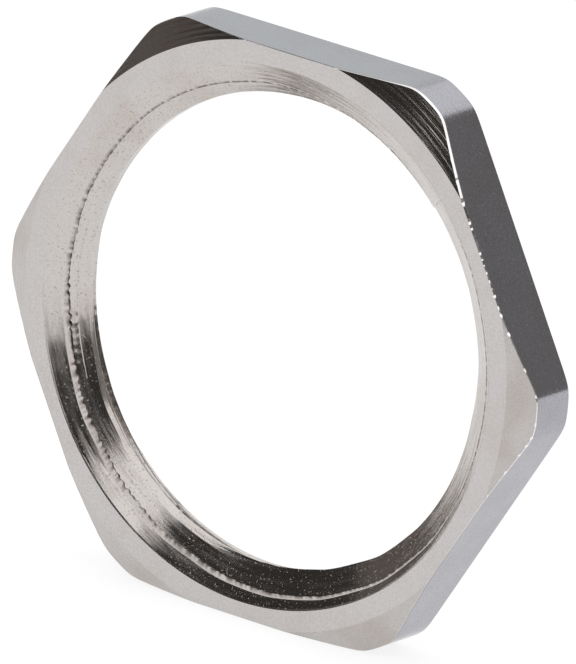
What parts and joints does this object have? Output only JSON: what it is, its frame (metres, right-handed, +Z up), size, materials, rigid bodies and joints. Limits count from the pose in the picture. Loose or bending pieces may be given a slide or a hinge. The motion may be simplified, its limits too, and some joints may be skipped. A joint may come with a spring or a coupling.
{
  "type": "cable gland lock nut",
  "caption": "Thin hexagonal lock nut, one machined piece, whose fine right-hand thread clamps a cable gland against a panel or enclosure wall.",
  "frame": {"origin": "centre of the flat the nut stands on, half way through its thickness", "axes": "+Y along the thread's axis, from the chamfered outer face to the bearing face; +Z up, at right angles to the flat it stands on; +X towards a corner"},
  "size_m": [0.029, 0.003, 0.026],
  "materials": {
    "nickel_plated_brass": "nickel plated, turned faces and bright flats"
  },
  "bodies": {
    "root": {"lock_nut": "nickel_plated_brass"}
  },
  "joints": []
}
